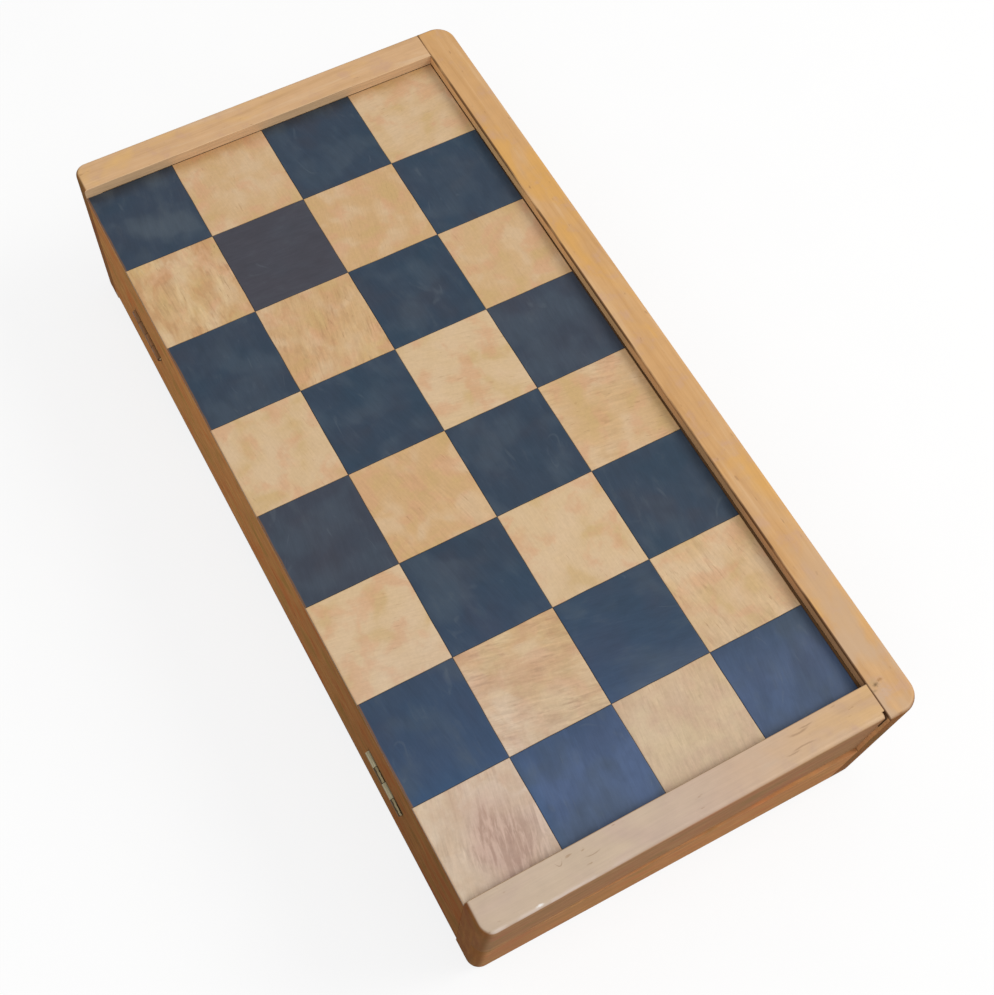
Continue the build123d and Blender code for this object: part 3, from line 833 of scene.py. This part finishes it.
def chequer(half, mirrored):
    """Both colours of squares of one half. On the lower half the colours change over."""
    xs, ys = chequer_lines()
    rng = random.Random(12 if mirrored else 5)
    values = {}
    for column in range(COLUMNS):
        for row in range(ROWS):
            across = rng.random() < 0.2
            values[column, row] = {
                "tone": TONES.get((column, row), rng.uniform(0.2, 0.8)),
                "turn": math.radians(rng.uniform(-14, 14) + 90 * across),
                "brown": 0 if mirrored else BROWNED.get((column, row), 0),
                "figure": FIGURED.get((column, row), rng.uniform(0, 0.5)),
                "sunk": rng.uniform(0, 0.04) * MM,
            }
    for colour, parity, material in (("dark", 0, DARK_VENEER), ("light", 1, LIGHT_VENEER)):
        bm = bmesh.new()
        layers = {key: bm.verts.layers.float.new(key) for key in ("groove", *VALUES)}
        for (column, row), value in values.items():
            if (column + row + mirrored) % 2 == parity:
                tile(bm, layers, column, row, xs, ys, value)
        if mirrored:
            bm.transform(Matrix.Translation((0, 0, 2 * SEAM_Z)) @ Matrix.Diagonal((1, 1, -1, 1)))
        mesh = mesh_from(bm, f"{half}_{colour}_chequer")
        node = f"{half}_{colour}_squares"
        new_piece(mesh.name, mesh, material, f"{half}_half", node)


chequer("upper", 0)
chequer("lower", 1)


# The men

# Radius and height in millimetres, from the middle of the underside round to the middle of the top
MAN_PROFILE = (
    (0, 0), (12.4, 0), (13.1, 0.25), (13.5, 0.9), (13.5, 2.7), (13.2, 2.95), (13.2, 3.25), (13.5, 3.5),
    (13.5, 4.0), (13.2, 4.25), (13.2, 4.55), (13.5, 4.8), (13.5, 6.6), (13.15, 7.2), (12.5, 7.5),
    (11.5, 7.5), (10.5, 7.45), (10.1, 7.3), (9.9, 6.85), (9.6, 6.7), (7.2, 6.7), (6.95, 6.5),
    (6.55, 6.5), (6.3, 6.7), (2.6, 6.7), (2.3, 6.55), (1.9, 6.55), (1.6, 6.7), (0, 6.7),
)

rng = random.Random(3)
for colour, material in (("light", LIGHT_TURNED), ("dark", DARK_TURNED)):
    mesh = mesh_from(lathe(MAN_PROFILE, 72), f"{colour}_man", 50)
    mesh.materials.append(material)
    for name in sorted(n for n in NODES if n.startswith(f"{colour}_man_")):
        low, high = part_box(name)
        piece = bpy.data.objects.new(name.replace("_man_", "_turned_man_"), mesh)
        bpy.context.scene.collection.objects.link(piece)
        piece.location = ((low.x + high.x) / 2, (low.y + high.y) / 2, low.z)
        piece.rotation_euler.z = rng.uniform(0, 2 * math.pi)
        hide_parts(name)
        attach(piece, name)


# Screws

SCREW_GAP = 5 * MM  # screws are further apart than this, and no vertices of one screw are
HAIR = 1e-6  # metres, less than any real distance between two vertices
PAN_HEIGHT = 1.3  # a pan head's height, in millimetres


def islands(node):
    """The lowest and highest corner of each of a node's solids, told apart by the gaps in Y."""
    ys = sorted({round(v.co.y, 6) for v in NODES[node].data.vertices})
    spans = [[ys[0], ys[0]]]
    for y in ys[1:]:
        if y - spans[-1][1] > SCREW_GAP:
            spans.append([y, y])
        spans[-1][1] = y
    found = []
    for span in spans:
        points = [v.co for v in NODES[node].data.vertices if span[0] - HAIR <= v.co.y <= span[1] + HAIR]
        low = Vector(min(p[i] for p in points) for i in range(3))
        high = Vector(max(p[i] for p in points) for i in range(3))
        found.append((low, high))
    return found


def slotted_screws(node, body, screw, turns):
    """Slotted screws in place of a node's plain ones. The function given makes one with its place, from
    the plain one's lowest and highest corners and the turn of its slot."""
    parts = [screw(low, high, turn) for (low, high), turn in zip(islands(node), turns)]
    name = node.replace("screws", "slotted_screws")
    new_piece(name, joined(parts, node), BRASS, body, node)


def pan_headed(head, shank):
    """Makes domed screws that stand out of the front face, with these radii in millimetres."""
    def screw(low, high, turn):
        reach = (high.x - low.x) / MM
        under = reach - PAN_HEIGHT
        profile = [
            (0, 0), (shank, 0), (shank, under), (head - 0.25, under), (head, under + 0.15),
            (head, under + 0.35), (head - 0.25, under + 0.75), (head * 0.62, under + 1.15), (0, reach),
        ]
        mesh = slotted(mesh_from(lathe(profile, 40), "screw"), 0.5, 0.55, 3 * head, reach, turn)
        foot = (low.x, (low.y + high.y) / 2, (low.z + high.z) / 2)
        return mesh, Matrix.Translation(foot) @ Matrix.Rotation(math.pi / 2, 4, "Y")
    return screw


def countersunk(points_up):
    """Makes flat-headed screws for the hinge leaves, their points up or down."""
    def screw(low, high, turn):
        length = (high.z - low.z) / MM
        profile = [
            (0, 0), (0.3, 0), (0.85, 2.5), (0.9, length - 1),
            (1.88, length - 0.12), (1.88, length), (0, length),
        ]
        mesh = slotted(mesh_from(lathe(profile, 32), "screw"), 0.45, 0.5, 6, length, turn)
        middle = ((low.x + high.x) / 2, (low.y + high.y) / 2)
        if points_up:
            return mesh, Matrix.Translation((*middle, high.z)) @ Matrix.Rotation(math.pi, 4, "X")
        return mesh, Matrix.Translation((*middle, low.z))
    return screw


slotted_screws("hook_pivot_screws", "lower_half", pan_headed(2.7, 1.2), (0.5, 2.1))
slotted_screws("hook_catch_screws", "upper_half", pan_headed(2.2, 1.0), (1.2, 2.7))
slotted_screws("upper_hinge_screws", "upper_half", countersunk(True), (0.3, 1.4, 2.2, 0.9))
slotted_screws("lower_hinge_screws", "lower_half", countersunk(False), (1.1, 0.2, 2.6, 1.9))


# The frame's own pieces

BEVEL_FROM = 35  # degrees between two faces from which their edge is bevelled


def soften(node, width):
    """Breaks a CAD node's sharp edges with a bevel in millimetres, after its flat faces are made whole."""
    weld = NODES[node].modifiers.new("weld", "WELD")
    weld.merge_threshold = HAIR
    flat = NODES[node].modifiers.new("flat", "DECIMATE")
    flat.decimate_type = "DISSOLVE"
    flat.angle_limit = math.radians(1)
    bevel = NODES[node].modifiers.new("bevel", "BEVEL")
    bevel.width = width * MM
    bevel.segments = 3
    bevel.limit_method = "ANGLE"
    bevel.angle_limit = math.radians(BEVEL_FROM)
    bevel.harden_normals = True


def dress(node, material, width):
    """Gives a CAD node its finish and its softened edges."""
    NODES[node].data.materials.clear()
    NODES[node].data.materials.append(material)
    soften(node, width)


for half in ("upper", "lower"):
    dress(f"{half}_front_wall", WOOD_ALONG, 0.2)
    dress(f"{half}_far_wall", WOOD_ACROSS, 0.15)
    dress(f"{half}_near_wall", WOOD_ACROSS, 0.2)
    dress(f"{half}_hinge_wall", HINGE_WOOD, 0.2)
    dress(f"{half}_board_panel", PLY, 0.15)
for end in ("near", "far"):
    for half in ("upper", "lower"):
        dress(f"{end}_hinge_{half}_leaf", LEAF_BRASS[f"{end}_{half}"], 0.08)
    dress(f"{end}_hinge_pin", BRASS, 0.08)
    dress(f"{end}_hook", BRASS, 0.2)


# Stage, lights and camera

STUDIO_LEVEL = 0.56  # the strength of the even light from all round
PAPER_SEEN = 0.8  # the share of the paper's own white where it is seen, which keeps the shadow faint
PAPER_REACH = 4.0  # metres from the middle to each side
PAPER_DROP = 0.0002  # metres below the case, so that no two faces lie in one plane


def floor():
    """White paper that keeps the object's soft shadow. It throws back less light than it seems to."""
    f = Finish("floor_paper")
    output = f.tree.nodes["Material Output"]
    rays = f.add("LightPath", {}).outputs
    seen = f.math("MAXIMUM", rays["Is Glossy Ray"], rays["Is Transmission Ray"])
    seen = f.math("MAXIMUM", rays["Is Camera Ray"], seen)
    fibres = f.ramp(f.noise(f.place, 40, 3), 0.3, 0.7, -0.01, 0.01)
    colour = f.grey(f.math("ADD", fibres, f.ramp(seen, 0, 1, 0.5, 0.99)))
    f.finish(colour, 0.9)
    glow = f.add("Emission", {"Color": (1, 1, 1, 1), "Strength": 1.0}).outputs[0]
    lit = f.add("MixShader", {0: f.product(seen, PAPER_SEEN), 1: f.shader.outputs[0], 2: glow})
    f.put(output, {"Surface": lit.outputs[0]})
    mesh = bpy.data.meshes.new("floor")
    corners = [(x * PAPER_REACH, y * PAPER_REACH, 0) for x, y in ((-1, -1), (1, -1), (1, 1), (-1, 1))]
    mesh.from_pydata(corners, [], [(0, 1, 2, 3)])
    mesh.materials.append(f.material)
    plane = bpy.data.objects.new("floor", mesh)
    plane.location.z = -PAPER_DROP
    bpy.context.scene.collection.objects.link(plane)


def world(level):
    """Even light from all round, white where it is seen directly."""
    made = bpy.data.worlds.new("studio")
    made.use_nodes = True
    tree = made.node_tree
    seen = tree.nodes.new("ShaderNodeLightPath").outputs["Is Camera Ray"]
    strength = tree.nodes.new("ShaderNodeMapRange")
    strength.inputs["To Min"].default_value = level
    tree.links.new(seen, strength.inputs["Value"])
    shade = tree.nodes["Background"]
    shade.inputs["Color"].default_value = (1, 1, 1, 1)
    tree.links.new(strength.outputs[0], shade.inputs["Strength"])
    bpy.context.scene.world = made


def area_light(name, place, target, size, watts, colour):
    """A round soft lamp turned to a target, sizes in metres."""
    lamp = bpy.data.lights.new(name, "AREA")
    lamp.shape = "DISK"
    lamp.size = size
    lamp.energy = watts
    lamp.color = colour
    made = bpy.data.objects.new(name, lamp)
    made.location = place
    made.rotation_euler = (Vector(target) - Vector(place)).to_track_quat("-Z", "Y").to_euler()
    bpy.context.scene.collection.objects.link(made)


# The photograph's camera, solved from the chequer's crossings: place in millimetres, angles in degrees,
# focal length and principal point in pixels of the 994 by 995 picture
CAMERA_PLACE = (-123.90, -191.05, 458.48)
CAMERA_YAW, CAMERA_PITCH, CAMERA_ROLL = 31.300, 65.204, 3.379
FOCAL_PX = 1388.5
CENTRE_PX = (437.4, 538.2)
PICTURE = (994, 995)


def camera():
    """The photograph's camera, with its off-centre frame as shift."""
    data = bpy.data.cameras.new("camera")
    data.sensor_width = 36
    data.lens = FOCAL_PX * data.sensor_width / max(PICTURE)
    data.shift_x = (PICTURE[0] / 2 - CENTRE_PX[0]) / max(PICTURE)
    data.shift_y = (CENTRE_PX[1] - PICTURE[1] / 2) / max(PICTURE)
    data.clip_start, data.clip_end = 0.01, 20
    made = bpy.data.objects.new("camera", data)
    yaw = Matrix.Rotation(-math.radians(CAMERA_YAW), 4, "Z")
    pitch = Matrix.Rotation(math.radians(90 - CAMERA_PITCH), 4, "X")
    roll = Matrix.Rotation(math.radians(CAMERA_ROLL), 4, "Z")
    made.matrix_world = Matrix.Translation(Vector(CAMERA_PLACE) * MM) @ yaw @ pitch @ roll
    bpy.context.scene.collection.objects.link(made)
    bpy.context.scene.camera = made


floor()
world(STUDIO_LEVEL)
area_light("key", (1.1, -0.35, 1.15), (0, 0, 0.03), 0.9, 12, (1.0, 0.97, 0.93))
area_light("window", (-0.6, -0.5, 1.0), (0, 0, 0.06), 0.8, 2.5, (0.85, 0.92, 1.0))
camera()
bpy.context.scene.view_settings.view_transform = "Standard"
